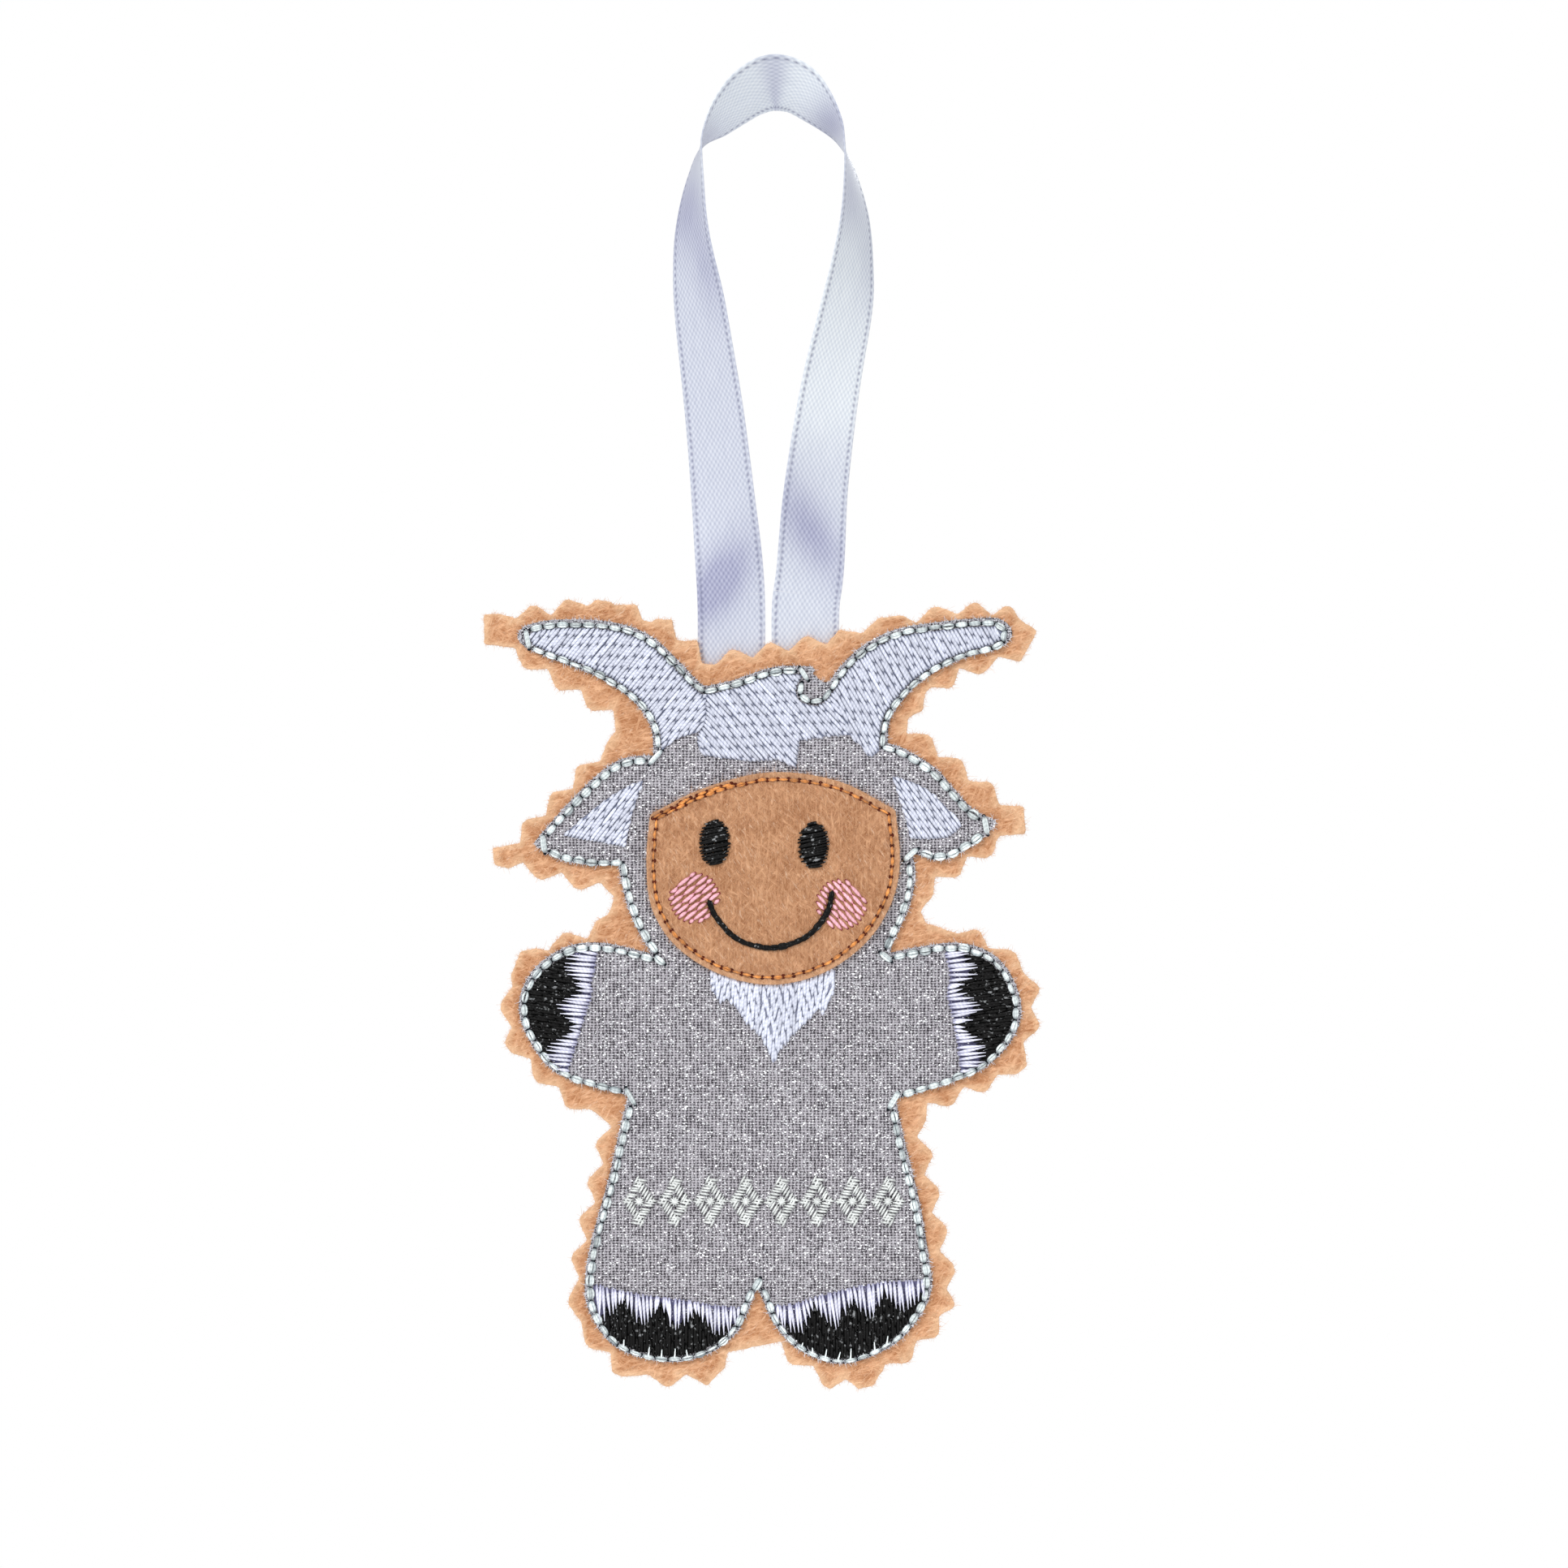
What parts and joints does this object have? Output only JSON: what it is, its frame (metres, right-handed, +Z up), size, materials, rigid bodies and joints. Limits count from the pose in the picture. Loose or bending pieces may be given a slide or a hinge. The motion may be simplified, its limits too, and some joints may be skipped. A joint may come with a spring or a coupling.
{
  "type": "hanging ornament",
  "caption": "Flat felt goat ornament with machine embroidery and a glitter cotton body, hung from a loop of satin ribbon.",
  "frame": {"origin": "where the loop hangs: on the inside of the ribbon crown, level with its lowest inside edge, in the plane where the two felts meet", "axes": "+X to the right as seen from the front, +Y from front to back, +Z up along the ribbon"},
  "size_m": [0.0844, 0.0103, 0.2028],
  "materials": {
    "ribbon_satin": "woven satin sheen",
    "camel_felt": "matt, fuzzy",
    "stabiliser_white": "matt, non-woven",
    "glitter_cotton": "plain weave with glitter flecks",
    "face_felt": "matt, fuzzy",
    "thread_white": "polyester embroidery thread sheen",
    "thread_black": "polyester embroidery thread sheen",
    "thread_pink": "polyester embroidery thread sheen",
    "thread_silver": "polyester embroidery thread sheen",
    "thread_orange": "polyester embroidery thread sheen"
  },
  "bodies": {
    "crown": {"ribbon_crown": "ribbon_satin"},
    "ribbon_legs": {"ribbon_leg_left": "ribbon_satin", "ribbon_leg_right": "ribbon_satin"},
    "goat": {"ribbon_tail_left": "ribbon_satin", "ribbon_tail_right": "ribbon_satin", "back_felt": "camel_felt", "stabiliser": "stabiliser_white", "front_felt": "camel_felt", "body_fabric": "glitter_cotton", "face_felt": "face_felt", "horn_left": "thread_white", "horn_right": "thread_white", "forelock": "thread_white", "ear_inner_left": "thread_white", "ear_inner_right": "thread_white", "beard": "thread_white", "hoof_hand_left": "thread_black", "hoof_hand_right": "thread_black", "hoof_foot_left": "thread_black", "hoof_foot_right": "thread_black", "cuff_hand_left": "thread_white", "cuff_hand_right": "thread_white", "cuff_foot_left": "thread_white", "cuff_foot_right": "thread_white", "eye_left": "thread_black", "eye_right": "thread_black", "cheek_left": "thread_pink", "cheek_right": "thread_pink", "smile": "thread_black", "belly_motif": "thread_silver", "outline_stitches": "thread_silver", "outline_stitches_back": "thread_white", "face_stitches": "thread_orange"}
  },
  "joints": [
    {"name": "ribbon_twist", "type": "hinge", "parent": "crown", "child": "ribbon_legs", "pos_m": [0, 0, -0.0083], "axis": [0, 0, 1], "range_deg": [-180, 180], "stiffness_Nm_per_rad": 0.00015},
    {"name": "ribbon_fold", "type": "hinge", "parent": "ribbon_legs", "child": "goat", "pos_m": [0, 0.00015, -0.0779], "axis": [1, 0, 0], "range_deg": [-120, 120]}
  ]
}
